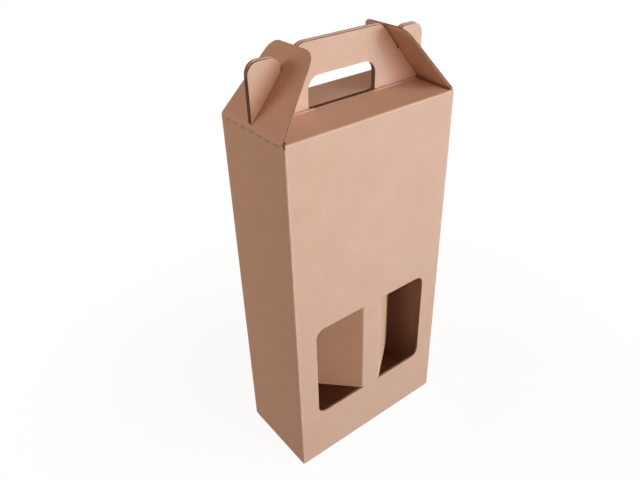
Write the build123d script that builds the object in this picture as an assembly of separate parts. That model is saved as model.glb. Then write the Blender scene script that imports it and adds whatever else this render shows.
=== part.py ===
from build123d import *
import os
from math import cos, radians, sin, sqrt, tan

# A tall carrier box for two bottles, die-cut from one sheet of corrugated board and folded up.
# X runs across the front, Y from front to back and Z up; the origin is at the middle of the base.
# Lengths are millimetres and angles degrees.

# Board and box
board = 2.0                  # thickness of the corrugated board
width = 180.0                # outside, across the front
depth = 90.0                 # outside, front to back
height = 356.0               # floor to the roof's front and back folds
side_drop = 3.0              # the side walls fold this much lower than the front and back walls
kerf = 0.5                   # gap left by a die-cut line

# Windows in the front wall, and the dividers cut from them
window_width = 57.0
window_height = 107.5
window_sill = 60.0           # floor to the window's lower edge
window_corner = 9.0
centre_post = 22.0           # front board left between the two windows
left_divider_angle = 46.0    # how far each divider is folded in
right_divider_angle = 39.0
crease_bevel_angle = 47.0    # board crushed away behind a divider's crease, each side

# Glued lap inside the back right corner
lap_width = 30.0
lap_end = 14.0               # the lap stops short of both ends of the walls
glue_line = 0.3              # thickness of the glue between the lap and the back wall
glue_width = 18.0

# Roof and handle
roof_rise = 1.5              # the roof climbs this much towards the handle
handle_gap = 0.8             # air between the two handle panels
handle_height = 54.6         # handle top over the roof fold
grip_corner = 14.0
hole_width = 71.5
hole_top = 28.2              # hand hole's top over the roof fold
hole_corner = 11.5
hole_foot = 2.0              # hand hole's foot over the roof fold; below it is a slit
hole_slit = 4.4              # gap between the roofs' cut edges under the hand hole
ear_foot = 3.5               # ears start this high over the roof fold
ear_width = 29.6
ear_height = 50.2            # ear top over the roof fold
ear_corner = 10.0

# Lock flaps
lock_lean_angle = 54.0       # slope over the horizontal
lock_length = 72.5           # along the slope
lock_bow = 1.2               # the middle of the flap bulges outwards this much
lock_base_width = 87.2
lock_top_width = 52.8
lock_corner = 13.0
lock_foot_width = 84.6       # trimmed foot between the roof folds
lock_foot_height = 6.5
lock_clearance = 0.8         # between a lock flap and the handle's slanted ends
slot_start = 5.8             # along the slope
slot_clearance = 0.5         # each side of the handle, and beyond the ear

# Bottom flaps, tucked into each other
layer_gap = 0.3              # air between flaps that lie on each other
front_flap_depth = 37.0
side_flap_length = 44.0
back_flap_depth = 53.0
side_ramp = 14.0             # a side flap climbs over the front flap in this length
back_ramp = 22.0             # the back flap climbs over the side flaps in this length
flap_trim = 3.6              # bottom flaps are this much narrower than their wall at each end
flap_taper = 14.0            # length of the cut-off corners
tongue_width = 72.0
tongue_run = 15.0            # the tongue climbs in this length
tongue_length = 14.0         # and lies on the back flap over this length
mouth_clearance = 2.5        # between the tongue and the back flap's mouth

# Sizes that follow
fold_radius = board / 2      # outside of every folded edge
side_top = height - side_drop
half_width = width / 2
half_depth = depth / 2
mid_x = half_width - board / 2
mid_y = half_depth - board / 2
lean = radians(lock_lean_angle)
handle_thickness = 2 * board + handle_gap
bow_radius = lock_length ** 2 / (8 * lock_bow) + lock_bow / 2
bow_x = half_width - lock_length / 2 * cos(lean) - (bow_radius - lock_bow) * sin(lean)
bow_z = side_top + lock_length / 2 * sin(lean) - (bow_radius - lock_bow) * cos(lean)
grip_radius = bow_radius - board - lock_clearance
roof_half = bow_x + sqrt(grip_radius ** 2 - (height + roof_rise - bow_z) ** 2)
ear_reach = sqrt((ear_width - ear_corner) ** 2 + (side_drop + ear_height - ear_corner) ** 2) + ear_corner
slot_end = ear_reach + slot_clearance
slot_corner = 2 * slot_clearance
layer = board + layer_gap
bottom_seam = 2 * fold_radius


def section(points):
    """Board's section along a chain of mid-line points: sharp inside each fold and round outside it."""
    panels = [trace(Line(start, end), line_width=board) for start, end in zip(points, points[1:])]
    folds = [Pos(*corner) * Circle(fold_radius) for corner in points[1:-1]]
    return Sketch() + panels + folds


def folded(points, plane, span):
    """Board folded along a chain of mid-line points on a plane, drawn out evenly to both sides of it."""
    return extrude(plane * section(points), amount=span / 2, both=True)


def prism(outline, plane, span):
    """A flat outline on a plane, drawn out evenly to both sides of it."""
    return extrude(plane * outline, amount=span / 2, both=True)


def closed(*points):
    """The flat face inside a ring of points."""
    return make_face(Polyline(*points, close=True))


def both_sides(outline):
    """An outline and its mirror image left to right."""
    return outline + mirror(outline, about=Plane.YZ)


def round_corner(outline, x, y, radius):
    """Round the outline's corner nearest to a point."""
    corner = min(outline.vertices(), key=lambda v: (v.X - x) ** 2 + (v.Y - y) ** 2)
    return fillet(corner, radius)


def walls():
    """Four walls in one strip, from the back wall's free end round to the lap glued inside it."""
    lap_y = mid_y - board - glue_line
    around = [(half_width - kerf, mid_y), (-mid_x, mid_y), (-mid_x, -mid_y), (mid_x, -mid_y)]
    around += [(mid_x, lap_y), (mid_x - lap_width, lap_y)]
    sleeve = Pos(0, 0, fold_radius) * extrude(section(around), amount=side_top - fold_radius)
    lap_middle = mid_x - fold_radius - lap_width / 2
    for level in (fold_radius, side_top):
        sleeve -= Pos(lap_middle, lap_y, level) * Box(lap_width, board, 2 * lap_end)
    glue_height = side_top - fold_radius - 4 * lap_end
    glue = Box(glue_width, board + glue_line, glue_height)
    return sleeve + Pos(lap_middle, (lap_y + mid_y) / 2, (side_top + fold_radius) / 2) * glue


def window(grow):
    """Right window's outline across the front, larger than the die-cut line by grow."""
    post_edge = centre_post / 2
    low = window_sill - grow
    high = window_sill + window_height + grow
    far = post_edge + window_width + grow
    outline = closed((post_edge, low), (far, low), (far, high), (post_edge, high))
    outline = round_corner(outline, far, low, window_corner + grow)
    return round_corner(outline, far, high, window_corner + grow)


def crease_wedge(turn):
    """Triangle of board crushed away beside the right window's crease, towards turn of the X axis."""
    crushed = board * tan(radians(crease_bevel_angle))
    edge = centre_post / 2
    return closed((edge, -half_depth), (edge, board - half_depth), (edge + turn * crushed, board - half_depth))


def window_cut():
    """Both windows with the bevelled edges that their dividers fold on."""
    through = Pos(0, -mid_y, 0) * prism(window(0), Plane.XZ, 2 * board)
    bevel = Pos(0, 0, window_sill) * extrude(crease_wedge(-1), amount=window_height)
    return both_sides(through + bevel)


def divider(fold):
    """Right divider: the board cut out of the window, hinged on the post and folded in."""
    flat = Pos(0, -mid_y, 0) * prism(window(-kerf), Plane.XZ, board)
    flat -= Pos(0, 0, window_sill) * extrude(crease_wedge(1), amount=window_height)
    return flat.rotate(Axis((centre_post / 2, -half_depth, 0), (0, 0, 1)), fold)


def ear():
    """Right ear of the handle, with two round corners."""
    inside = half_width - ear_width
    top = height + ear_height
    outline = closed((inside, height + ear_foot), (half_width, height + ear_foot), (half_width, top), (inside, top))
    outline = round_corner(outline, half_width, top, ear_corner)
    return round_corner(outline, inside, top, ear_corner)


def grip():
    """Right half of the grip, whose end slants along the lock flap's inner face."""
    top = height + handle_height
    end = half_width - ear_width
    slant_foot = bow_z + sqrt(grip_radius ** 2 - (end - bow_x) ** 2)
    slant_head = bow_x + sqrt(grip_radius ** 2 - (top - bow_z) ** 2)
    outline = closed((0, height + ear_foot), (end, height + ear_foot), (end, slant_foot),
                     (slant_head, top), (0, top))
    return round_corner(outline, slant_head, top, grip_corner)


def hand_hole():
    """Hole through both handle panels, down through the crease, with a round top."""
    floor = height - side_drop
    outline = closed((0, floor), (hole_width / 2, floor), (hole_width / 2, height + hole_top),
                     (0, height + hole_top))
    outline = both_sides(round_corner(outline, hole_width / 2, height + hole_top, hole_corner))
    under_roof = closed((-half_width, floor), (half_width, floor), (half_width, height + hole_foot),
                        (-half_width, height + hole_foot))
    panels = prism(outline - under_roof, Plane.XZ, 2 * handle_thickness)
    return panels + prism(outline, Plane.XZ, hole_slit)


def roof_and_handle():
    """Front wall's top fold, roof and handle panel in one strip, cut to outline."""
    panel_y = -(handle_gap + board) / 2
    seam = side_top - fold_radius
    chain = [(-mid_y, seam), (-mid_y, height - board / 2)]
    chain += [(panel_y, height + roof_rise - board / 2), (panel_y, height + handle_height)]
    strip = folded(chain, Plane.YZ, width)
    fold_half = half_width - fold_radius
    under = closed((-fold_half, seam), (fold_half, seam), (fold_half, height + ear_foot),
                   (-fold_half, height + ear_foot))
    strip &= prism(under + both_sides(ear() + grip()), Plane.XZ, depth)
    end_trim = half_width - roof_half
    end_depth = half_depth - board - kerf
    trim = Pos(roof_half + end_trim / 2, -end_depth / 2, side_top + (side_drop + ear_foot) / 2)
    trim = trim * Box(end_trim, end_depth, side_drop + ear_foot)
    return strip - both_sides(trim)


def lock_flap():
    """Right lock flap: a slotted outline along its slope, cut through board that bows over the roof."""
    foot = [(0, lock_foot_width / 2), (lock_foot_height, lock_foot_width / 2)]
    taper = (lock_base_width - lock_top_width) / 2 / lock_length
    shoulder = lock_base_width / 2 - taper * lock_foot_height
    head = [(lock_foot_height, shoulder), (lock_length, lock_top_width / 2)]
    right_side = foot + head
    left_side = [(s, -y) for s, y in reversed(right_side)]
    outline = closed(*right_side, *left_side)
    outline = round_corner(outline, lock_length, lock_top_width / 2, lock_corner)
    outline = round_corner(outline, lock_length, -lock_top_width / 2, lock_corner)
    slot_middle = (slot_start + slot_end) / 2
    slot_width = handle_thickness + 2 * slot_clearance
    outline -= Pos(slot_middle, 0) * RectangleRounded(slot_end - slot_start, slot_width, slot_corner)
    slope = Plane((half_width, 0, side_top), x_dir=(-cos(lean), 0, sin(lean)), z_dir=(-sin(lean), 0, -cos(lean)))
    bow = Pos(bow_x, bow_z) * (Circle(bow_radius) - Circle(bow_radius - board))
    leaning = prism(bow, Plane.XZ, lock_base_width) & prism(outline, slope, lock_length)
    foot_cut = Box(width, depth, side_drop, align=(Align.CENTER, Align.CENTER, Align.MAX))
    return leaning - Pos(half_width, 0, side_top + layer_gap) * foot_cut


def tapered(wall_half, reach):
    """Right half of a bottom flap's outline: its corners cut off beside the fold, then straight."""
    root = wall_half - flap_trim
    return closed((0, 0), (root, 0), (root, fold_radius), (root - flap_taper, fold_radius + flap_taper),
                  (root - flap_taper, reach), (0, reach))


def front_flap():
    """Front bottom flap, lowest of all, with a tongue that climbs through the back flap's mouth."""
    tongue_foot = front_flap_depth - half_depth
    rise = 3 * layer + board / 2
    chain = [(-mid_y, bottom_seam), (-mid_y, board / 2), (tongue_foot, board / 2)]
    chain += [(tongue_foot + tongue_run, rise), (tongue_foot + tongue_run + tongue_length, rise)]
    strip = folded(chain, Plane.YZ, width)
    outline = tapered(half_width, front_flap_depth)
    outline += closed((0, 0), (tongue_width / 2, 0), (tongue_width / 2, depth), (0, depth))
    return strip & prism(Pos(0, -half_depth) * both_sides(outline), Plane.XY, 2 * height)


def side_flap():
    """Right bottom flap: it climbs onto the front flap, clear of the back flap's ramp."""
    chain = [(mid_x, bottom_seam), (mid_x, board / 2), (half_width - side_ramp, layer + board / 2)]
    chain += [(half_width - side_flap_length, layer + board / 2)]
    strip = folded(chain, Plane.XZ, depth)
    root = half_depth - flap_trim
    back = half_depth - back_ramp - board
    ramp_end = half_width - side_ramp
    end = half_width - side_flap_length
    outline = closed((half_width, -root), (half_width - fold_radius, -root), (ramp_end, -root + side_ramp),
                     (end, -root + side_ramp + flap_taper), (end, back), (ramp_end, back),
                     (half_width - fold_radius, root), (half_width, root))
    return strip & prism(outline, Plane.XY, 2 * height)


def back_flap():
    """Back bottom flap, highest of all, with a mouth for the front flap's tongue."""
    chain = [(mid_y, bottom_seam), (mid_y, board / 2), (half_depth - back_ramp, 2 * layer + board / 2)]
    chain += [(half_depth - back_flap_depth, 2 * layer + board / 2)]
    strip = folded(chain, Plane.YZ, width)
    outline = Pos(0, half_depth) * mirror(both_sides(tapered(half_width, back_flap_depth)), about=Plane.XZ)
    mouth_y = front_flap_depth - half_depth + tongue_run + mouth_clearance
    mouth_half = tongue_width / 2 + mouth_clearance
    outline -= closed((-mouth_half, mouth_y), (mouth_half, mouth_y), (mouth_half, -depth), (-mouth_half, -depth))
    return strip & prism(outline, Plane.XY, 2 * height)


def carton():
    """The folded sheet without its hinged flaps."""
    top = roof_and_handle()
    top = top + mirror(top, about=Plane.XZ) - hand_hole()
    base = front_flap() + back_flap() + both_sides(side_flap())
    return walls() - window_cut() + top + base


nodes = {
    "carton": carton(),
    "right_lock_flap": lock_flap(),
    "left_lock_flap": mirror(lock_flap(), about=Plane.YZ),
    "right_divider": divider(right_divider_angle),
    "left_divider": mirror(divider(left_divider_angle), about=Plane.YZ),
}

os.makedirs("parts", exist_ok=True)
for name, solid in nodes.items():
    export_step(solid, f"parts/{name}.step")
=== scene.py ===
import bpy
import numpy as np
from mathutils import Matrix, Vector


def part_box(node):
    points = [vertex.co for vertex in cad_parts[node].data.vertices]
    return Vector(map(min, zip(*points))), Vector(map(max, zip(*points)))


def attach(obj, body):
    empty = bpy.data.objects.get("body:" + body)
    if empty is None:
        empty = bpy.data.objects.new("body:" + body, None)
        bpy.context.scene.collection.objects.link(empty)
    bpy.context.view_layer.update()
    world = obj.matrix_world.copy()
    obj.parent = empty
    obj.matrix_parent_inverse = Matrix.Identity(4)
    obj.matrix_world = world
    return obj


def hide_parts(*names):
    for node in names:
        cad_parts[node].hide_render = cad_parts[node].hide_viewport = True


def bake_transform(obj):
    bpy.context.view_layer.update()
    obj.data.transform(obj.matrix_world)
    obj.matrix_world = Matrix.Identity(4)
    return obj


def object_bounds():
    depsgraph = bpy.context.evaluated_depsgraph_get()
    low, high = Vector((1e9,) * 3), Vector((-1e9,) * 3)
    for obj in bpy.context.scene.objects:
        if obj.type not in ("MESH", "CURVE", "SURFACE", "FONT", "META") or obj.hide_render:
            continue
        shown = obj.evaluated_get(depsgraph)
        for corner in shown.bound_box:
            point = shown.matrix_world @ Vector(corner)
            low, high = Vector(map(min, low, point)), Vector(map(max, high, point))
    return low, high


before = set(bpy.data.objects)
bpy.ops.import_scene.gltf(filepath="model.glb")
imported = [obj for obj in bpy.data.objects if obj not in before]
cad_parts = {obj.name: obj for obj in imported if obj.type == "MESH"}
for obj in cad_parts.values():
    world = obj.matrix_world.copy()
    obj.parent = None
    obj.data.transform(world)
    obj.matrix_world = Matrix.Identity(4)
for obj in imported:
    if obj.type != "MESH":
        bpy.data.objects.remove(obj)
cad_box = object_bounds()

# Camera: a short normal lens held above the box's front left edge and tipped a little clockwise.
# Lengths are metres in the box's own frame: X across the front, Y to the back, Z up.
mm = 0.001
camera_azimuth, camera_elevation, camera_roll = np.radians((-36.89, 32.90, 1.78))
camera_distance = 574.5 * mm
camera_target = np.array((-26.7, 0.0, 227.4)) * mm
camera_lens = 34.70

level_back = np.array((np.sin(camera_azimuth), -np.cos(camera_azimuth), 0))
backward = level_back * np.cos(camera_elevation) + np.array((0, 0, np.sin(camera_elevation)))
level_right = np.cross((0, 0, 1), level_back)
level_up = np.cross(backward, level_right)
camera_right = level_right * np.cos(camera_roll) - level_up * np.sin(camera_roll)
camera_up = level_right * np.sin(camera_roll) + level_up * np.cos(camera_roll)
camera_axes = np.eye(4)
camera_axes[:3] = np.stack((camera_right, camera_up, backward,
                            camera_target + backward * camera_distance), axis=1)
camera = bpy.data.objects.new("camera", bpy.data.cameras.new("camera"))
camera.data.lens = camera_lens
camera.data.sensor_width = 36.0
camera.data.clip_start = 10 * mm
camera.matrix_world = Matrix(camera_axes.tolist())
bpy.context.scene.collection.objects.link(camera)
bpy.context.scene.camera = camera
bpy.context.scene.view_settings.view_transform = "Standard"

# Studio: a white paper floor that keeps the box's soft shadow, a dim warm room, and four soft boxes.
# The cool main one stands front right behind a grid, and a small warm one hangs above for the roof.
# Two plain ones stand in front and back left.
floor_size = 6.0
floor_paper = (0.15, 0.15, 0.15, 1)
floor_glow = (0.90, 0.90, 0.90, 1)
shadow_reach = 0.14, 0.45
covered_rim = 1.0 * mm
room_light = (0.30, 0.19, 0.110, 1)
black, white = (0, 0, 0, 1), (1, 1, 1, 1)


class Finish:
    """A socket in a material. Arithmetic with numbers or other sockets adds Math nodes behind it."""

    def __init__(self, tree, socket=None):
        self.tree = tree
        self.socket = socket

    def feed(self, node, inputs):
        """Set a node's sockets, by name or number, to values or to links."""
        for name, value in inputs.items():
            if isinstance(value, Finish):
                self.tree.links.new(value.socket, node.inputs[name])
            else:
                node.inputs[name].default_value = value

    def add(self, kind, settings=None, inputs=None, output=0):
        """Add a node of one type: its settings first, then its sockets. Gives one of its outputs."""
        node = self.tree.nodes.new("ShaderNode" + kind)
        for name, value in (settings or {}).items():
            setattr(node, name, value)
        self.feed(node, inputs or {})
        return Finish(self.tree, node.outputs[output])

    def maths(self, operation, *values):
        """A Math node on this tree."""
        return self.add("Math", {"operation": operation}, dict(enumerate(values)))

    def __add__(self, other):
        return self.maths("ADD", self, other)

    def __sub__(self, other):
        return self.maths("SUBTRACT", self, other)

    def __mul__(self, other):
        return self.maths("MULTIPLY", self, other)

    __radd__ = __add__


def seen_directly(finish):
    """1 for rays from the camera, from a mirror or through glass, and 0 for rays that light things."""
    ray = {name: finish.add("LightPath", output=name)
           for name in ("Is Camera Ray", "Is Glossy Ray", "Is Transmission Ray")}
    seen = ray["Is Camera Ray"] + ray["Is Glossy Ray"] + ray["Is Transmission Ray"]
    return finish.maths("MINIMUM", seen, 1.0)


def floor_finish():
    """Matt paper with a little light of its own where it is seen, so that it reads as white. Under the box it
    has none, and away from the box, beyond its shadow, what is seen of it is plain white."""
    material = bpy.data.materials.new("floor paper")
    material.use_nodes = True
    finish = Finish(material.node_tree)
    paper = finish.add("BsdfDiffuse", inputs={"Color": floor_paper})
    seen = seen_directly(finish)
    place = finish.add("TexCoord", output="Object")
    across, away = (finish.maths("ABSOLUTE", finish.add("SeparateXYZ", inputs={0: place}, output=k))
                    for k in (0, 1))
    beside = finish.maths("MAXIMUM", finish.maths("GREATER_THAN", across, cad_box[1][0] - covered_rim),
                          finish.maths("GREATER_THAN", away, cad_box[1][1] - covered_rim))
    glow = finish.add("Mix", {"data_type": "RGBA"}, {0: seen * beside, 6: black, 7: floor_glow}, 2)
    glowing = finish.add("Emission", inputs={"Color": glow})
    both = finish.add("AddShader", inputs={0: paper, 1: glowing})
    distance = finish.add("VectorMath", {"operation": "LENGTH"}, {0: place}, "Value")
    beyond = finish.add("MapRange", {"interpolation_type": "SMOOTHSTEP"},
                        {"Value": distance, 1: shadow_reach[0], 2: shadow_reach[1]})
    plain = finish.add("Emission", inputs={"Color": white})
    surface = finish.add("MixShader", inputs={0: seen * beyond, 1: both, 2: plain})
    finish.feed(material.node_tree.nodes["Material Output"], {"Surface": surface})
    return material


half_floor = floor_size / 2
floor_mesh = bpy.data.meshes.new("floor")
floor_corners = [(-half_floor, -half_floor, 0), (half_floor, -half_floor, 0),
                 (half_floor, half_floor, 0), (-half_floor, half_floor, 0)]
floor_mesh.from_pydata(floor_corners, [], [(0, 1, 2, 3)])
floor_mesh.materials.append(floor_finish())
floor = bpy.data.objects.new("floor", floor_mesh)
bpy.context.scene.collection.objects.link(floor)

room = bpy.data.worlds.new("room")
bpy.context.scene.world = room
room.use_nodes = True
room_finish = Finish(room.node_tree)
room_seen = seen_directly(room_finish)
room_tint = room_finish.add("Mix", {"data_type": "RGBA"}, {0: room_seen, 6: room_light, 7: white}, 2)
room_finish.feed(room.node_tree.nodes["Background"], {"Color": room_tint})


def soft_box(name, place, aim, size, power, colour, spread=180):
    """A square area lamp at a place, facing a point. A grid before it can narrow its spread, in degrees."""
    lamp = bpy.data.lights.new(name, "AREA")
    lamp.size = size
    lamp.spread = np.radians(spread)
    lamp.energy = power
    lamp.color = colour
    stand = bpy.data.objects.new(name, lamp)
    away = np.subtract(place, aim) / np.linalg.norm(np.subtract(place, aim))
    side = np.cross((0, 0, 1), away)
    side = side / np.linalg.norm(side)
    axes = np.eye(4)
    axes[:3] = np.stack((side, np.cross(away, side), away, place), axis=1)
    stand.matrix_world = Matrix(axes.tolist())
    bpy.context.scene.collection.objects.link(stand)


soft_box("key_box", place=(0.76, -1.12, 0.52), aim=(0, 0, 0.30), size=1.0, power=3.75,
         colour=(0.53, 0.79, 1.0), spread=52)
soft_box("top_box", place=(0.6, -0.6, 1.3), aim=(0, 0, 0.36), size=0.4, power=0.12,
         colour=(1.0, 0.5, 0.2), spread=40)
soft_box("front_box", place=(0.0, -1.4, 0.5), aim=(0, 0, 0.25), size=0.9, power=8.2, colour=(1.0, 0.90, 0.88))
soft_box("left_box", place=(-1.2, 0.8, 0.55), aim=(0, 0, 0.25), size=0.7, power=6.9, colour=(1.0, 0.95, 0.93))

# Sleeve: the four walls, folded round from one die-cut sheet of single-wall corrugated board.
# Two brown paper liners are glued to a waved paper; the lap at the end is glued inside the back wall.
# The front wall has a window for each bottle, and the waves run up the box.
board = 2.0 * mm
liner = 0.3 * mm
fluting_paper = 0.25 * mm
flute_pitch = 3.4 * mm
flute_steps = 10
fold_radius, fold_thin = 1.2 * mm, 0.5
fold_steps = 6
fold_margin = 2.0 * mm
kerf, board_gap = 0.5 * mm, 0.3 * mm
column_gap = 0.05 * mm
sharp_edge = np.radians(35)
carton_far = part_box("carton")[1]
half_width, half_depth = carton_far.x, carton_far.y
lap_length, lap_end, lap_taper = 31.0 * mm, 14.0 * mm, 2.0 * mm
lap_y = half_depth - board - board_gap
corner_foot, corner_top = 1.0 * mm, 353.0 * mm
bottom_seam, top_seam = 2.0 * mm, 352.0 * mm
lock_crease = 1.6 * mm
post_half, window_far, window_corner = 11.0 * mm, 68.0 * mm, 9.0 * mm
window_sill, window_head = 60.0 * mm, 167.5 * mm
divider_crease = 2.2 * mm


def fold_path(folds):
    """Path through a chain of corners, each given as a point, its arc's radius and the share of the board's
    thickness left there. Headings stay put on a run and turn evenly along an arc; each step is a chord."""
    folds = np.array(folds)
    corners, radius, thin = folds[:, :2], folds[1:-1, 2], folds[1:-1, 3]
    run = np.diff(corners, axis=0)
    heading = np.unwrap(np.arctan2(run[:, 1], run[:, 0]))
    turn = abs(np.diff(heading))
    setback = np.pad(radius * np.tan(turn / 2), 1)
    straight = np.hypot(*run.T) - setback[:-1] - setback[1:]
    arc = np.append(radius * turn, 0)
    ends = np.append(0, np.cumsum(np.stack((straight, arc), axis=1).ravel()[:-1]))
    headings = np.repeat(heading, 2)
    arcs = np.linspace(ends[1:-1:2], ends[2:-1:2], fold_steps + 1)
    margins = np.concatenate((arcs[0] - fold_margin, arcs[-1] + fold_margin))[np.tile(thin < 1, 2)]
    margins = margins[(margins > 0) & (margins < ends[-1])]
    at = np.unique(np.concatenate((ends, arcs.ravel(), margins)).round(9))
    just = 1e-8
    before, after = np.interp(at - just, ends, headings), np.interp(at + just, ends, headings)
    middle = np.interp((at[:-1] + at[1:]) / 2, ends, headings)
    chord = np.diff(at) * np.sinc((before[1:] - after[:-1]) / (2 * np.pi))
    steps = np.stack((chord * np.cos(middle), chord * np.sin(middle)), axis=1)
    points = corners[0] + np.concatenate((np.zeros((1, 2)), np.cumsum(steps, axis=0)))
    crushed = (at[:, None] > arcs[0] - just) & (at[:, None] < arcs[-1] + just) & (thin < 1)
    return {"at": at, "points": points, "heading": (before + after) / 2, "arcs": arcs.T,
            "thickness": np.where(crushed, thin, 1.0).min(axis=1), "wear": crushed.any(axis=1) * 1.0}


def on_path(path, at, depth):
    """Points beside a path: the path's point at each distance plus a step to the left of its heading."""
    heading = np.interp(at, path["at"], path["heading"])
    step = depth * np.interp(at, path["at"], path["thickness"])
    across = np.interp(at, path["at"], path["points"][:, 0]) - step * np.sin(heading)
    along = np.interp(at, path["at"], path["points"][:, 1]) + step * np.cos(heading)
    return across, along


FACE, OUTLINE, EDGE = range(3)


def shell(outer, inner, keep):
    """Faces of a closed shell between two sheets of grid points: both sheets over the kept cells, and a
    wall on every edge between a kept cell and a missing one. The last result says what each face is."""
    index = np.arange(outer[..., 0].size).reshape(outer.shape[:2])
    far = index.size
    sheet = np.stack((index[:-1, :-1], index[:-1, 1:], index[1:, 1:], index[1:, :-1]), axis=-1)[keep]
    cells = np.pad(keep, 1)
    before_row, after_row = cells[:-1, 1:-1], cells[1:, 1:-1]
    before_column, after_column = cells[1:-1, :-1], cells[1:-1, 1:]
    walls = []
    for first, second, rim in ((index[:, 1:], index[:, :-1], after_row & ~before_row),
                               (index[:, :-1], index[:, 1:], before_row & ~after_row),
                               (index[:-1], index[1:], after_column & ~before_column),
                               (index[1:], index[:-1], before_column & ~after_column)):
        a, b = first[rim], second[rim]
        walls.append(np.stack((a, b, b + far, a + far), axis=-1))
    walls = np.concatenate(walls)
    faces = np.concatenate((sheet, sheet[:, ::-1] + far, walls))
    points = np.concatenate((outer.reshape(-1, 3), inner.reshape(-1, 3)))
    a, b, c, d = (points[faces[:, k]] for k in range(4))
    volume = (np.cross(a, b) * c).sum() + (np.cross(a, c) * d).sum()
    on_outline = (walls[:, :2] // index.shape[1] == len(index) - 1).all(axis=1)
    kinds = np.append(np.full(2 * len(sheet), FACE), np.where(on_outline, OUTLINE, EDGE))
    return points, faces if volume > 0 else faces[:, ::-1], kinds


def card(name, layers, materials):
    """One mesh from several shells. Each layer is its sheet positions, points, faces, wear and materials.
    The positions go into a UV map, in metres on the flat sheet, and the wear into an attribute."""
    counts = np.cumsum([0] + [len(layer["points"]) for layer in layers])
    faces = np.concatenate([layer["faces"] + start for layer, start in zip(layers, counts)])
    points, flat, wear = (np.concatenate([layer[k] for layer in layers]) for k in ("points", "flat", "wear"))
    finish = np.concatenate([layer["finish"] for layer in layers])
    used, faces = np.unique(faces, return_inverse=True)
    faces = faces.reshape(-1, 4)
    mesh = bpy.data.meshes.new(name)
    mesh.vertices.add(len(used))
    mesh.vertices.foreach_set("co", points[used].astype(np.float32).ravel())
    mesh.loops.add(faces.size)
    mesh.loops.foreach_set("vertex_index", faces.astype(np.int32).ravel())
    mesh.polygons.add(len(faces))
    mesh.polygons.foreach_set("loop_start", np.arange(0, faces.size, 4, dtype=np.int32))
    mesh.polygons.foreach_set("material_index", finish.astype(np.int32))
    mesh.update(calc_edges=True)
    flat_corners = flat[used][faces.ravel()].astype(np.float32)
    mesh.uv_layers.new(name="sheet").data.foreach_set("uv", flat_corners.ravel())
    mesh.attributes.new("wear", "FLOAT", "POINT").data.foreach_set("value", wear[used].astype(np.float32))
    mesh.shade_smooth()
    mesh.set_sharp_from_angle(angle=sharp_edge)
    for material in materials:
        mesh.materials.append(material)
    piece = bpy.data.objects.new(name, mesh)
    bpy.context.scene.collection.objects.link(piece)
    return piece


# The last two are the cut edge again: one with painted light, one with painted shade.
LINER, CUT, FLUTING, PAINTED_LIGHT_CUT, PAINTED_SHADE_CUT = range(5)


def layer(columns, levels, keep, place, depths, wear, finishes):
    """One shell of board: a grid of columns across the waves and of levels along them, at two depths. Its
    finishes are for the faces, the last level's edge and the other edges."""
    columns = np.unique(columns.round(8))
    along = levels(columns)
    across = np.broadcast_to(columns, along.shape)
    outer, inner = (np.stack(np.broadcast_arrays(*place(across, along, depth(across))), axis=-1)
                    for depth in depths)
    points, faces, kinds = shell(outer, inner, keep((columns[1:] + columns[:-1]) / 2))
    flat = np.stack((across, along), axis=-1).reshape(-1, 2)
    worn = np.broadcast_to(wear(across, along), across.shape).ravel()
    return {"points": points, "faces": faces, "flat": np.tile(flat, (2, 1)), "wear": np.tile(worn, 2),
            "finish": np.array(finishes)[kinds]}


def corrugated(name, columns, levels, keep, place, wear, outline=CUT, edge=CUT):
    """Board of three papers: two flat liners, and between them one that waves as a sine over the columns."""
    swing = board / 2 - liner - fluting_paper / 2
    ends = columns.min(), columns.max()
    flutes = np.arange(np.floor(ends[0] / flute_pitch), np.ceil(ends[1] / flute_pitch), 1 / flute_steps)
    flutes = flutes * flute_pitch
    flutes = flutes[(flutes > ends[0]) & (flutes < ends[1])]
    clear = abs(flutes[:, None] - columns[None]).min(axis=1) > column_gap
    wavy = np.concatenate((columns, flutes[clear]))

    def flat_at(depth):
        return lambda across: np.full_like(across, depth)

    def wave_at(shift):
        return lambda across: board / 2 + shift + swing * np.sin(2 * np.pi * across / flute_pitch)

    flat = (LINER, outline, edge)
    waves = wave_at(-fluting_paper / 2), wave_at(fluting_paper / 2)
    layers = [layer(columns, levels, keep, place, (flat_at(0), flat_at(liner)), wear, flat),
              layer(columns, levels, keep, place, (flat_at(board - liner), flat_at(board)), wear, flat),
              layer(wavy, levels, keep, place, waves, wear, (FLUTING, outline, FLUTING))]
    return card(name, layers, board_finishes)


paper_fleck, paper_worn = (0.36, 0.20, 0.12, 1), (0.74, 0.52, 0.39, 1)


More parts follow.
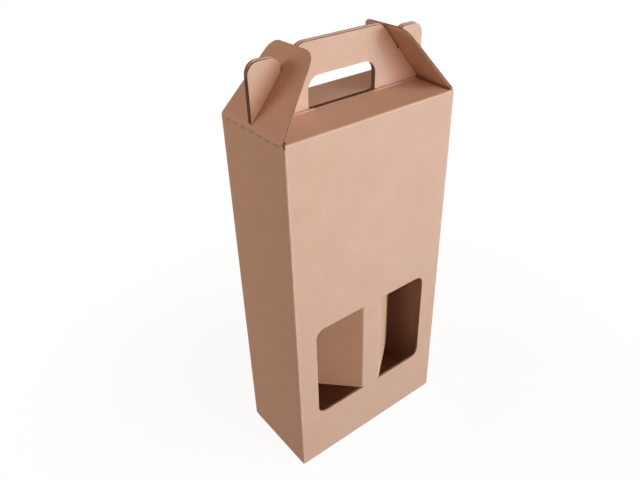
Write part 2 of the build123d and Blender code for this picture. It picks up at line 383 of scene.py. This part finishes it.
def liner_finish(name, light, dark, ribbing):
    """Brown liner paper: cloudy tone, fine fibres and flecks, ribs over the waves, paler worn folds."""
    material = bpy.data.materials.new(name)
    material.use_nodes = True
    finish = Finish(material.node_tree)
    sheet = finish.add("UVMap", {"uv_map": "sheet"})
    across = finish.add("SeparateXYZ", inputs={0: sheet}, output=0)
    ribs = finish.maths("SINE", across * (2 * np.pi / flute_pitch))
    clouds = finish.add("TexNoise", inputs={"Vector": sheet, "Scale": 28, "Detail": 3, "Roughness": 0.6})
    streaked = finish.add("Mapping", inputs={"Vector": sheet, "Scale": (420, 1500, 1)})
    fibres = finish.add("TexNoise", inputs={"Vector": streaked, "Scale": 1, "Detail": 3, "Roughness": 0.65})
    grain = finish.add("TexNoise", inputs={"Vector": sheet, "Scale": 1700, "Detail": 2, "Roughness": 0.6})
    mottle = finish.add("TexNoise", inputs={"Vector": sheet, "Scale": 450, "Detail": 2, "Roughness": 0.6})
    speck = finish.add("TexNoise", inputs={"Vector": streaked, "Scale": 0.55, "Detail": 1})
    specks = finish.add("MapRange", inputs={"Value": speck, 1: 0.68, 2: 0.8, 3: 0.0, 4: 0.3})
    tone = clouds * 0.5 + fibres * 0.45 + grain * 0.35 + mottle * 0.5 + ribs * clouds * ribbing - 0.40
    paper = finish.add("Mix", {"data_type": "RGBA"}, {0: tone, 6: dark, 7: light}, 2)
    paper = finish.add("Mix", {"data_type": "RGBA"}, {0: specks, 6: paper, 7: paper_fleck}, 2)
    wear = finish.add("Attribute", {"attribute_name": "wear"}, output="Fac")
    worn = wear * wear * (fibres * 0.6)
    paper = finish.add("Mix", {"data_type": "RGBA"}, {0: worn, 6: paper, 7: paper_worn}, 2)
    relief = ribs * clouds * 0.25 + fibres * 0.5 + grain * 0.35 + clouds * 0.8
    bump = finish.add("Bump", inputs={"Height": relief, "Strength": 0.5, "Distance": 0.1 * mm})
    finish.feed(material.node_tree.nodes["Principled BSDF"], {
        "Base Color": paper, "Roughness": 0.55 + fibres * 0.16, "Normal": bump, "Specular IOR Level": 0.3})
    return material


def raw_finish(name, light, dark, scale):
    """Bare paper fibre at a cut edge or inside the board, mottled between two browns."""
    material = bpy.data.materials.new(name)
    material.use_nodes = True
    finish = Finish(material.node_tree)
    place = finish.add("TexCoord", output="Object")
    mottle = finish.add("TexNoise", inputs={"Vector": place, "Scale": scale, "Detail": 4, "Roughness": 0.7})
    tone = finish.add("MapRange", inputs={"Value": mottle, 1: 0.3, 2: 0.7, 3: 0.0, 4: 1.0})
    paper = finish.add("Mix", {"data_type": "RGBA"}, {0: tone, 6: dark, 7: light}, 2)
    bump = finish.add("Bump", inputs={"Height": mottle, "Strength": 0.7, "Distance": 0.15 * mm})
    finish.feed(material.node_tree.nodes["Principled BSDF"], {
        "Base Color": paper, "Roughness": 0.75 + mottle * 0.15, "Normal": bump, "Specular IOR Level": 0.25})
    return material


board_finishes = (
    liner_finish("kraft liner", (0.67, 0.41, 0.285, 1), (0.53, 0.305, 0.20, 1), ribbing=0.05),
    raw_finish("cut liner edge", (0.52, 0.33, 0.22, 1), (0.34, 0.20, 0.125, 1), 900),
    raw_finish("fluting paper", (0.34, 0.20, 0.125, 1), (0.20, 0.115, 0.07, 1), 700),
    # Painted light: the same cut fibre made paler, for cut edges that face the light.
    raw_finish("cut edge painted light", (0.66, 0.45, 0.32, 1), (0.46, 0.30, 0.20, 1), 900),
    # Painted shade: the same cut fibre made near black, for cut edges that lie in shade.
    raw_finish("cut edge painted shade", (0.15, 0.08, 0.05, 1), (0.07, 0.035, 0.02, 1), 900))

sleeve_path = fold_path([(half_width - kerf, half_depth, 0, 1),
                         (-half_width, half_depth, fold_radius, fold_thin),
                         (-half_width, -half_depth, fold_radius, fold_thin),
                         (half_width, -half_depth, fold_radius, fold_thin),
                         (half_width, lap_y, fold_radius, fold_thin),
                         (half_width - lap_length, lap_y, 0, 1)])
front_middle = (sleeve_path["arcs"][1].max() + sleeve_path["arcs"][2].min()) / 2
fold_at = sleeve_path["arcs"] - front_middle
tail_at = fold_radius - kerf - front_middle


def sleeve_place(across, along, depth):
    """Walls stand on the folded path: across runs round the box from the front's middle, along runs up."""
    x, y = on_path(sleeve_path, across + front_middle, depth)
    return x, y, along


def rounded(distance, corner):
    """Height of a quarter round over its tangent: 0 before the corner, its radius at the end of it."""
    return corner - np.sqrt(np.clip(corner ** 2 - np.clip(distance, 0, corner) ** 2, 0, None))


def quarter(start, end, steps=9):
    """Columns over a quarter round from its tangent to its end, closer where it is steep."""
    return start + (end - start) * np.sin(np.linspace(0, np.pi / 2, steps))


def sleeve_levels(across):
    """Level lines from the wall's foot to its top: they bow round the windows' outer corners."""
    bow = rounded(abs(across) - (window_far - window_corner), window_corner)
    on_lap = np.clip((across - fold_at[3].max()) / lap_taper, 0, 1)
    lines = (corner_foot, bottom_seam + on_lap * (corner_foot + lap_end - bottom_seam), window_sill + bow,
             window_head - bow, top_seam - lock_crease + on_lap * (corner_top - lap_end - top_seam),
             corner_top - lock_crease, top_seam, corner_top)
    return np.stack([np.broadcast_to(line, across.shape) for line in lines])


def sleeve_keep(middle):
    """Cells of the sleeve: walls between seams, side walls to the lock flaps' folds, folds to the top."""
    in_fold = ((middle > fold_at.min(axis=1)[:, None]) & (middle < fold_at.max(axis=1)[:, None])).any(axis=0)
    in_fold = in_fold | (middle < tail_at)
    in_side = ((middle > fold_at[0].max()) & (middle < fold_at[1].min())
               | (middle > fold_at[2].max()) & (middle < fold_at[3].min()))
    on_lap = middle > fold_at[3].max()
    in_window = (abs(middle) > post_half - divider_crease) & (abs(middle) < window_far)
    everywhere = np.full_like(in_fold, True)
    return np.stack((in_fold, everywhere, ~in_window, everywhere, ~on_lap, ~on_lap & ~in_side, in_fold))


def sleeve_wear(across, along):
    """Worn along the upright folds."""
    return np.interp(across + front_middle, sleeve_path["at"], sleeve_path["wear"])


window_columns = np.concatenate((quarter(window_far - window_corner, window_far),
                                 (post_half - divider_crease, post_half)))
sleeve_columns = np.concatenate((sleeve_path["at"] - front_middle, window_columns, -window_columns,
                                 (tail_at, fold_at[3].max() + lap_taper)))
sleeve = corrugated("sleeve", sleeve_columns, sleeve_levels, sleeve_keep, sleeve_place, sleeve_wear)
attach(sleeve, "carton")
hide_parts("carton")

# Roof and handle: the front and back walls each run on over the top as a roof and up as a handle panel.
# The two panels lie back to back; the hand hole is cut through both, down to a slit between the roofs.
# The ears at the handle's ends stand up through the lock flaps' slots.
roof_height, roof_rise, handle_gap, handle_height = 356.0 * mm, 1.5 * mm, 0.8 * mm, 55.6 * mm
back_rise, back_rise_end = 0.8 * mm, 20.0 * mm
handle_face = handle_gap / 2 + board
handle_top = roof_height + handle_height
handle_crease_radius, handle_crease_thin = 0.4 * mm, 0.85
ear_foot, ear_width, ear_height, ear_corner = 3.5 * mm, 29.6 * mm, 49.8 * mm, 10.0 * mm
ear_inside = half_width - ear_width
grip_corner = 14.0 * mm
grip_bend = 8.0 * mm, 5.0 * mm
slant_foot, grip_slant = 390.2 * mm, np.radians(51.44)
slant_head = ear_inside - (handle_top - slant_foot) / np.tan(grip_slant)
nick_width, nick_depth = 2.0 * mm, 2.0 * mm
hole_half, hole_top, hole_corner = 35.75 * mm, 28.2 * mm, 11.5 * mm
hole_ease = 7.0 * mm
fold_half, back_left_end = half_width - 1.0 * mm, 86.2 * mm
roof_left, roof_right = 86.0 * mm, 84.7 * mm
roof_trim_y = half_depth - board - kerf
notch, hair = 0.15 * mm, 0.01 * mm
roof_wear = 0.6
bead_height, bead_half, bead_back = 1.0 * mm, 0.8 * mm, 1.3 * mm
ear_steps, grip_steps, ease_steps, bead_steps = 33, 12, 11, 11

top_path = fold_path([(-half_depth, top_seam, 0, 1),
                      (-half_depth, roof_height, fold_radius, fold_thin),
                      (-handle_face, roof_height + roof_rise, handle_crease_radius, handle_crease_thin),
                      (-handle_face, handle_top, 0, 1)])
crease_start, crease_end = top_path["arcs"][1].min(), top_path["arcs"][1].max()
roof_pitch = np.arctan2(roof_rise, half_depth - handle_face)
roof_start = np.interp(-roof_trim_y, top_path["points"][:, 0], top_path["at"])
bead_at = crease_start - bead_back
handle_shift = crease_end - np.interp(crease_end, top_path["at"], top_path["points"][:, 1])


def top_place(turn, rise):
    """Front or back strip: it follows its path over the top, with a low bead pressed up along the crease.
    Beside the hand hole the roof's cut edge stays flat, easing into the crease at the hole's corners.
    The back panel stands a little higher, by a rise that grows over its foot."""
    def place(across, along, depth):
        at = along - top_seam
        y, z = on_path(top_path, at, -depth)
        flat_y, flat_z = on_path(top_path, np.minimum(at, crease_start), -depth)
        run_on = np.maximum(at - crease_start, 0)
        flat_y = flat_y + run_on * np.cos(roof_pitch)
        flat_z = flat_z + run_on * np.sin(roof_pitch)
        ease = np.clip((abs(across) - (hole_half - hole_ease)) / hole_ease, 0, 1)
        bent = np.where(at < crease_end + hair, ease * ease * (3 - 2 * ease), 1.0)
        bead = bead_height * np.exp(-((at - bead_at) / bead_half) ** 2)
        z = z + bead + rise * np.clip((at - crease_end) / back_rise_end, 0, 1)
        return across, turn * (flat_y + (y - flat_y) * bent), flat_z + (z - flat_z) * bent
    return place


def grip_line(across):
    """Grip's top edge: level, rounded, then slanting down to the ear along the lock flap."""
    tangent = grip_corner * np.tan(grip_slant / 2)
    middle = slant_head - tangent
    turned = np.clip((across - middle) / grip_corner, 0, np.sin(grip_slant))
    level = handle_top - grip_corner * (1 - np.sqrt(1 - turned ** 2))
    slant = slant_foot + (ear_inside - across) * np.tan(grip_slant)
    return np.where(across < slant_head + tangent * np.cos(grip_slant), level, slant)


def ear_line(across):
    """Ear's top edge: level between two round corners."""
    from_end = np.minimum(half_width - across, across - ear_inside)
    return roof_height + ear_height - rounded(ear_corner - from_end, ear_corner)


def top_levels(across):
    """Level lines up the strip: the folds and the bead, then the ear's foot, the hand hole's top, the nick's
    foot, the foot of the grip's slant and the outline."""
    side = abs(across)
    bow = hole_corner - rounded(side - (hole_half - hole_corner), hole_corner)
    outline = np.where(side < ear_inside, grip_line(np.minimum(side, ear_inside)), ear_line(side))
    folds = top_path["at"][top_path["at"] < crease_end + hair]
    beads = bead_at + bead_half * np.linspace(-2, 1, bead_steps)
    folds = np.unique(np.concatenate((folds, beads, (roof_start,))).round(9)) + top_seam
    lines = (roof_height + ear_foot, roof_height + hole_top - hole_corner + bow, slant_foot - nick_depth,
             slant_foot, outline)
    upright = np.stack([np.broadcast_to(line, across.shape) for line in lines])
    return np.concatenate((np.broadcast_to(folds[:, None], (len(folds), across.size)),
                           upright + handle_shift + top_seam))


ROOT, HOLE, GRIP, NICK, EAR = range(-5, 0)


def top_keep(left_end):
    """Cells of a strip: the fold's full width, the trimmed roof, then the handle's rows from its trimmed root
    up to the ears, without hole, nicks and notches."""
    def keep_cells(middle):
        side = abs(middle)
        on_fold = top_levels(middle).min(axis=1)[:-1] - top_seam < roof_start - hair
        trimmed = ~on_fold
        trimmed[HOLE:] = False
        keep = side < np.where(on_fold, fold_half, half_width)[:, None]
        keep[on_fold] &= middle > -left_end
        keep[trimmed] &= (middle > -roof_left) & (middle < roof_right)
        keep[ROOT:GRIP] &= side > hole_half
        keep[NICK] &= (side < ear_inside - notch) | (side > ear_inside + nick_width)
        keep[EAR] &= abs(side - ear_inside) > notch
        return keep
    return keep_cells


def top_wear(across, along):
    """A little worn along the roof's fold and, clear of the hand hole, along the handle's crease."""
    worn = roof_wear * np.interp(along - top_seam, top_path["at"], top_path["wear"])
    at_hole = (along - top_seam > roof_start) & (abs(across) < hole_half + hole_ease)
    return np.where(at_hole, 0, worn)


ear_columns = half_width - ear_width / 2 * (1 - np.cos(np.linspace(0, np.pi, ear_steps)))
grip_columns = np.linspace(slant_head - grip_bend[0], slant_head + grip_bend[1], grip_steps)
top_columns = np.concatenate((quarter(hole_half - hole_corner, hole_half), ear_columns, grip_columns,
                              np.linspace(hole_half - hole_ease, hole_half + hole_ease, ease_steps),
                              (ear_inside - notch, ear_inside + notch, ear_inside + nick_width, roof_left,
                               roof_right, back_left_end, fold_half)))
top_columns = np.concatenate((top_columns, -top_columns))
top_columns = top_columns[abs(abs(top_columns) - ear_inside) > notch / 2]
for name, turn, rise, left_end in (("front_roof_and_handle", 1, 0, fold_half),
                                   ("back_roof_and_handle", -1, back_rise, back_left_end)):
    # Their top edges take the cut edge with painted light, their other cut edges the one with painted shade.
    strip = corrugated(name, top_columns, top_levels, top_keep(left_end), top_place(turn, rise), top_wear,
                       PAINTED_LIGHT_CUT, PAINTED_SHADE_CUT)
    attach(strip, "carton")
    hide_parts("carton")

# Lock flaps: the side walls' top flaps, leaning over the roof with the handle's ends through their slots.
# Each hangs on a perforated crease, crushed thin. The roof's ends prop its foot upright, so the board
# bends a little above the crease.
lock_base_half, lock_top_half = 43.6 * mm, 26.4 * mm
lock_lean, lock_slope = np.radians(51.6), 70.4 * mm
lock_knee, lock_knee_radius = (half_width + 0.7 * mm, corner_top + 3.2 * mm), 4.0 * mm
lock_tip = (lock_knee[0] - lock_slope * np.cos(lock_lean), lock_knee[1] + lock_slope * np.sin(lock_lean))
lock_profile = fold_path([(half_width, corner_top, 0, 1),
                          (*lock_knee, lock_knee_radius, 1),
                          (*lock_tip, 0, 1)])
lock_length = lock_profile["at"][-1]
foot_turn = np.arctan2(lock_knee[0] - half_width, lock_knee[1] - corner_top)
bulge, bulge_at, bulge_half, bulge_fade = 1.3 * mm, 6.0 * mm, 11.0 * mm, 15.0 * mm
bulge_end = 2.5 * bulge_half
lock_corner, lock_corner_end = 13.0 * mm, 3.0 * mm
edge_crush, edge_reach = 0.5, 1.0 * mm
lock_foot_half, lock_foot_height = 42.3 * mm, 6.5 * mm
slot_half, slot_start, slot_end = 2.9 * mm, 5.8 * mm, 53.7 * mm
lock_taper = (lock_base_half - lock_top_half) / lock_length
lock_shoulder = lock_base_half - lock_taper * lock_foot_height
left_back_end, right_back_end = 43.4 * mm, 40.4 * mm
crease_front_end = 43.3 * mm
foot_rows, body_rows = 10, 20
corner_steps, side_steps, bulge_steps = 14, 24, 14
crease_board, crease_radius = 0.8 * mm, 0.8 * mm
crease_wear, crease_wear_reach = 1.2, 0.6
crease_turn, foot_reach = 0.7, 12.5 * mm
cut_length, tie_length = 7.0 * mm, 4.5 * mm
lock_corner_turn = np.pi / 2 - np.arctan(lock_taper)
lock_corner_back = lock_corner * np.tan(lock_corner_turn / 2)


def lock_line(across):
    """Flap's outline as a reach up its slope: level top, rounded corners, slanting sides."""
    side = abs(across)
    middle = lock_top_half - lock_corner_back
    turned = np.clip((side - middle) / lock_corner, 0, np.sin(lock_corner_turn))
    level = lock_length - lock_corner * (1 - np.sqrt(1 - turned ** 2))
    slant = (lock_base_half - side) / lock_taper
    return np.minimum(level, np.maximum(slant, lock_foot_height))


def lock_levels(across):
    """Level lines up the slope: crease, slot's start, shoulder, then shares of the way to the outline."""
    body = lock_line(across) - lock_foot_height
    slot_share = (slot_end - lock_foot_height) / (lock_length - lock_foot_height)
    shares = np.append(np.linspace(0, 1, body_rows), (slot_share, 1 - edge_reach / lock_length))
    foot = np.linspace(lock_crease, slot_start, foot_rows)[:, None]
    return np.concatenate((np.broadcast_to(foot, (len(foot), across.size)),
                           lock_foot_height + np.sort(shares)[:, None] * body))


def lock_keep(back_end):
    """Cells of a lock flap: the trimmed foot, then the full outline, without the slot."""
    def keep_cells(middle):
        side = abs(middle)
        low = lock_levels(np.zeros(1))[:-1]
        on_foot = low < lock_foot_height - hair
        in_slot = (low > slot_start - hair) & (low < slot_end - hair) & (side < slot_half)
        in_foot = (middle > -lock_foot_half) & (middle < back_end)
        return np.where(on_foot, in_foot, side < lock_shoulder) & ~in_slot
    return keep_cells


def leaning(turn):
    """Lock flap's place: up its profile from the fold at the wall's top. The ear pushes the flap out round
    the slot's lower end: a bulge that grows from the crease and fades up the slope and to both sides.
    The die has crushed the outline: the board thins towards it as a bell curve. Below the shoulder the back
    edge runs on down the slanting side."""
    def place(across, along, depth):
        grow = np.clip((along - lock_crease) / (bulge_at - lock_crease), 0, 1)
        fade = np.exp(-(np.maximum(along - bulge_at, 0) / bulge_fade) ** 2 - (across / bulge_half) ** 2)
        side_edge = lock_base_half - lock_taper * along
        from_edge = np.maximum(np.minimum(side_edge - abs(across), lock_line(across) - along), 0)
        thin = 1 - edge_crush * np.exp(-(from_edge / edge_reach) ** 2)
        x, z = on_path(lock_profile, along, depth * thin - bulge * grow * fade)
        return turn * x, np.minimum(across, side_edge), z
    return place


def no_wear(across, along):
    """Nothing worn."""
    return np.zeros_like(across)


def crease(name, ends, reach, path_points, place, cuts):
    """A fold crushed thin: its outer face follows a small arc, and its inner face rises from a thin middle
    to the board's thickness at both edges. Cuts are left open along its middle. Its wear is full at the
    middle and falls off evenly to both sides."""
    path = fold_path([(*path_points[0], 0, 1), (*path_points[1], crease_radius, 1), (*path_points[2], 0, 1)])
    length = path["at"][-1]
    rows = length / 2 + reach * np.array((-1, -0.8, -0.6, -0.4, -0.3, -0.18, 0.18, 0.3, 0.4, 0.6, 0.8, 1))
    rows[0], rows[-1] = 0, length
    columns = np.unique(np.concatenate((np.array(ends), cuts.ravel())))

    def levels(across):
        return np.broadcast_to(rows[:, None], (len(rows), across.size))

    def keep(middle):
        kept = np.full((len(rows) - 1, middle.size), True)
        in_cut = (middle[:, None] > cuts[:, 0]) & (middle[:, None] < cuts[:, 1])
        kept[len(kept) // 2] = ~in_cut.any(axis=1)
        return kept

    def crushed(across):
        thick = crease_board + (board - crease_board) * abs(rows - length / 2) / (length / 2)
        return np.broadcast_to(thick[:, None], across.shape)

    def on_fold(across, along, depth):
        return place(across, *on_path(path, along, depth))

    def folded(across, along):
        return np.clip(crease_wear - abs(along - length / 2) / (crease_wear_reach * reach), 0, 1)

    sheet = layer(columns, levels, keep, on_fold, (np.zeros_like, crushed), folded, (LINER, LINER, CUT))
    return card(name, [sheet], board_finishes)


def foot_blend(fold, flap, turn, wall_edge, flap_edge):
    """Work out, along a lock flap's foot in its own direction, where a smooth step would take the crease to
    its share of the turn and where a longer one would run on from there up the foot. Those points are not
    used: the crease and the flap are only baked into their meshes as they stand."""
    way = np.array((turn * np.sin(foot_turn), 0, np.cos(foot_turn)))
    start = np.array((turn * wall_edge[0], 0, wall_edge[1]))
    crease_reach = way @ (turn * flap_edge[0], 0, flap_edge[1]) - way @ start
    risen = 0.5 - np.sin(np.arcsin(1 - 2 * crease_turn) / 3)
    run_up = (foot_reach * risen - crease_reach) / (1 - risen)
    start + way * crease_reach / risen
    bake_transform(fold)
    start - way * run_up
    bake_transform(flap)


corner_start, corner_end = lock_top_half - lock_corner_back, lock_top_half + lock_corner_end
lock_columns = np.concatenate(((slot_half, lock_foot_half, lock_shoulder),
                               np.linspace(corner_start, corner_end, corner_steps),
                               np.linspace(corner_end, lock_shoulder, side_steps),
                               np.linspace(slot_half, bulge_end, bulge_steps)))
lock_columns = np.concatenate((lock_columns, -lock_columns, (left_back_end, right_back_end)))
cut_starts = np.arange(-lock_foot_half + tie_length, lock_foot_half - cut_length, cut_length + tie_length)
lock_cuts = np.stack((cut_starts, cut_starts + cut_length), axis=1)
for name, turn, back_end in (("left_lock_flap", -1, left_back_end), ("right_lock_flap", 1, right_back_end)):
    foot_end = max(back_end, lock_foot_half)
    flap = corrugated(name + "_board", lock_columns, lock_levels, lock_keep(foot_end), leaning(turn), no_wear)
    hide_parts(name)
    wall_edge = (half_width, corner_top - lock_crease)
    flap_edge = on_path(lock_profile, lock_crease, 0)
    fold = crease(name + "_crease", (-crease_front_end, back_end), lock_crease,
                  [wall_edge, (half_width, corner_top), flap_edge],
                  lambda across, x, z, turn=turn: (turn * x, across, z),
                  lock_cuts[lock_cuts[:, 1] < back_end])
    foot_blend(fold, flap, turn, wall_edge, flap_edge)

# Dividers: the board cut out of each window, left hanging on the centre post and folded into the box.
# They keep the two bottles apart, and each turns on a crease crushed from the inside. Handling has
# pressed their liner against the waves, so its ribs show.
divider_far = window_far - kerf - post_half
divider_low, divider_high = window_sill + kerf, window_head - kerf
divider_corner = window_corner - kerf
divider_folds = {"left_divider": (-1, np.radians(46.0)), "right_divider": (1, np.radians(39.0))}
# Their liner is the kraft liner tinted redder and more saturated: painted warm shade for the dividers, which
# stand in shade inside the windows.
divider_painted_shade_liner = liner_finish("divider liner painted shade", (0.71, 0.40, 0.245, 1), (0.56, 0.295, 0.172, 1), ribbing=0.2)


def divider_levels(across):
    """Lower and upper edge of a divider, rounded away from the crease."""
    bow = rounded(across - (post_half + divider_far - divider_corner), divider_corner)
    return np.stack((divider_low + bow, divider_high - bow))


def divider_keep(middle):
    """A divider has no holes."""
    return np.full((1, middle.size), True)


def folded_in(turn, fold):
    """Divider's place: out from the crease on the front face, turned into the box by the fold."""
    def place(across, along, depth):
        reach = across - post_half
        x = post_half + reach * np.cos(fold) - depth * np.sin(fold)
        y = -half_depth + reach * np.sin(fold) + depth * np.cos(fold)
        return turn * x, y, along
    return place


def crease_blend(piece, before, after, fold, reach):
    """Work out where a crease between the carton and a divider would start and end its turn, so that only its
    thin middle turns and its edges keep still. Those points are not used: the crease is only baked into its
    mesh as it stands.
    """
    share = board * np.tan(fold / 2) / (2 * reach)
    before, after = np.array(before), np.array(after)
    before + (after - before) * share
    after - (after - before) * share
    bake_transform(piece)


divider_columns = np.append(quarter(post_half + divider_far - divider_corner, post_half + divider_far),
                            post_half + divider_crease)
for name, (turn, fold) in divider_folds.items():
    panel = corrugated(name + "_board", divider_columns, divider_levels, divider_keep, folded_in(turn, fold),
                       no_wear)
    # The dividers' faces take the liner with painted warm shade.
    panel.data.materials[LINER] = divider_painted_shade_liner
    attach(panel, name)
    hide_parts(name)
    post_edge = (post_half - divider_crease, -half_depth)
    panel_edge = (post_half + divider_crease * np.cos(fold), -half_depth + divider_crease * np.sin(fold))
    bend = crease(name + "_crease", (divider_low, divider_high), divider_crease,
                  [post_edge, (post_half, -half_depth), panel_edge],
                  lambda across, x, y, turn=turn: (turn * x, y, across), np.empty((0, 2)))
    crease_blend(bend, (turn * post_edge[0], post_edge[1], 0), (turn * panel_edge[0], panel_edge[1], 0),
                 fold, divider_crease)

# Bottom flaps: the walls' lower flaps, tucked into each other without glue.
# The front one lies lowest, the side ones on it and the back one on top; the front one's tongue
# comes up through the back one's mouth.
flap_layer = board + board_gap
root_inset = 3.6 * mm
flap_root, side_root = half_width - root_inset, half_depth - root_inset


def bottom_flap(name, root, folds, lines, place):
    """A flap folded in under the box. Folds give its path inwards from the wall's face. Each line, in
    millimetres, is an edge or fold further in: places over the width, its reach there, and the ends of the
    spans that have board before it. Past an odd number of ends there is board."""
    path = fold_path([(0, bottom_seam, 0, 1),
                      (0, 0, fold_radius, fold_thin),
                      *((*fold, 0, 1) for fold in folds)])
    inward = path["points"][:, 0]
    rows = path["at"][inward < root_inset]
    lines = [tuple(np.array(values) * mm for values in line) for line in lines]

    def levels(across):
        reached = [np.interp(np.interp(across, *line[:2]), inward, path["at"]) for line in lines]
        return np.concatenate((np.broadcast_to(rows[:, None], (len(rows), across.size)), np.array(reached)))

    def keep(middle):
        board_at = [np.searchsorted(ends, middle) % 2 == 1 for _, _, ends in lines]
        return np.concatenate((np.tile(abs(middle) < root, (len(rows) - 1, 1)), np.array(board_at)))

    def on_flap(across, along, depth):
        return place(across, *on_path(path, along, depth))

    def worn(across, along):
        return np.interp(along, path["at"], path["wear"])

    columns = [(-root, root)] + [values for places, _, ends in lines for values in (places, ends)]
    piece = corrugated(name, np.concatenate(columns), levels, keep, on_flap, worn)
    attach(piece, "carton")
    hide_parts("carton")


taper = np.array((-86.4, -72.8, -72.4, 72.4, 72.8, 86.4))
bottom_flap("front_bottom_flap", flap_root,
            [(37.0 * mm, 0), (52.0 * mm, 3 * flap_layer), (66.0 * mm, 3 * flap_layer)],
            [(taper, (3.8, 14.8, 37.0, 37.0, 14.8, 3.8), (-86.4, 86.4)),
             ((-36.0, 36.0), (52.0, 52.0), (-36.0, 36.0)),
             ((-36.0, 36.0), (66.0, 66.0), (-36.0, 36.0))],
            lambda across, inward, up: (across, inward - half_depth, up))
bottom_flap("back_bottom_flap", flap_root, [(22.0 * mm, 2 * flap_layer), (53.0 * mm, 2 * flap_layer)],
            [(taper, (3.8, 14.8, 22.0, 22.0, 14.8, 3.8), (-86.4, 86.4)),
             ((-72.4, 72.4), (35.5, 35.5), (-72.4, 72.4)),
             ((-72.4, 72.4), (53.0, 53.0), (-72.4, -38.5, 38.5, 72.4))],
            lambda across, inward, up: (across, half_depth - inward, up))
for name, turn in (("left_bottom_flap", -1), ("right_bottom_flap", 1)):
    bottom_flap(name, side_root, [(14.0 * mm, flap_layer), (44.0 * mm, flap_layer)],
                [((-41.4, -27.4, 21.0, 41.4), (3.8, 14.0, 14.0, 3.8), (-41.4, 41.4)),
                 ((-27.4, -13.4, 21.0), (14.6, 44.0, 44.0), (-27.4, 21.0))],
                lambda across, inward, up, turn=turn: (turn * (half_width - inward), across, up))
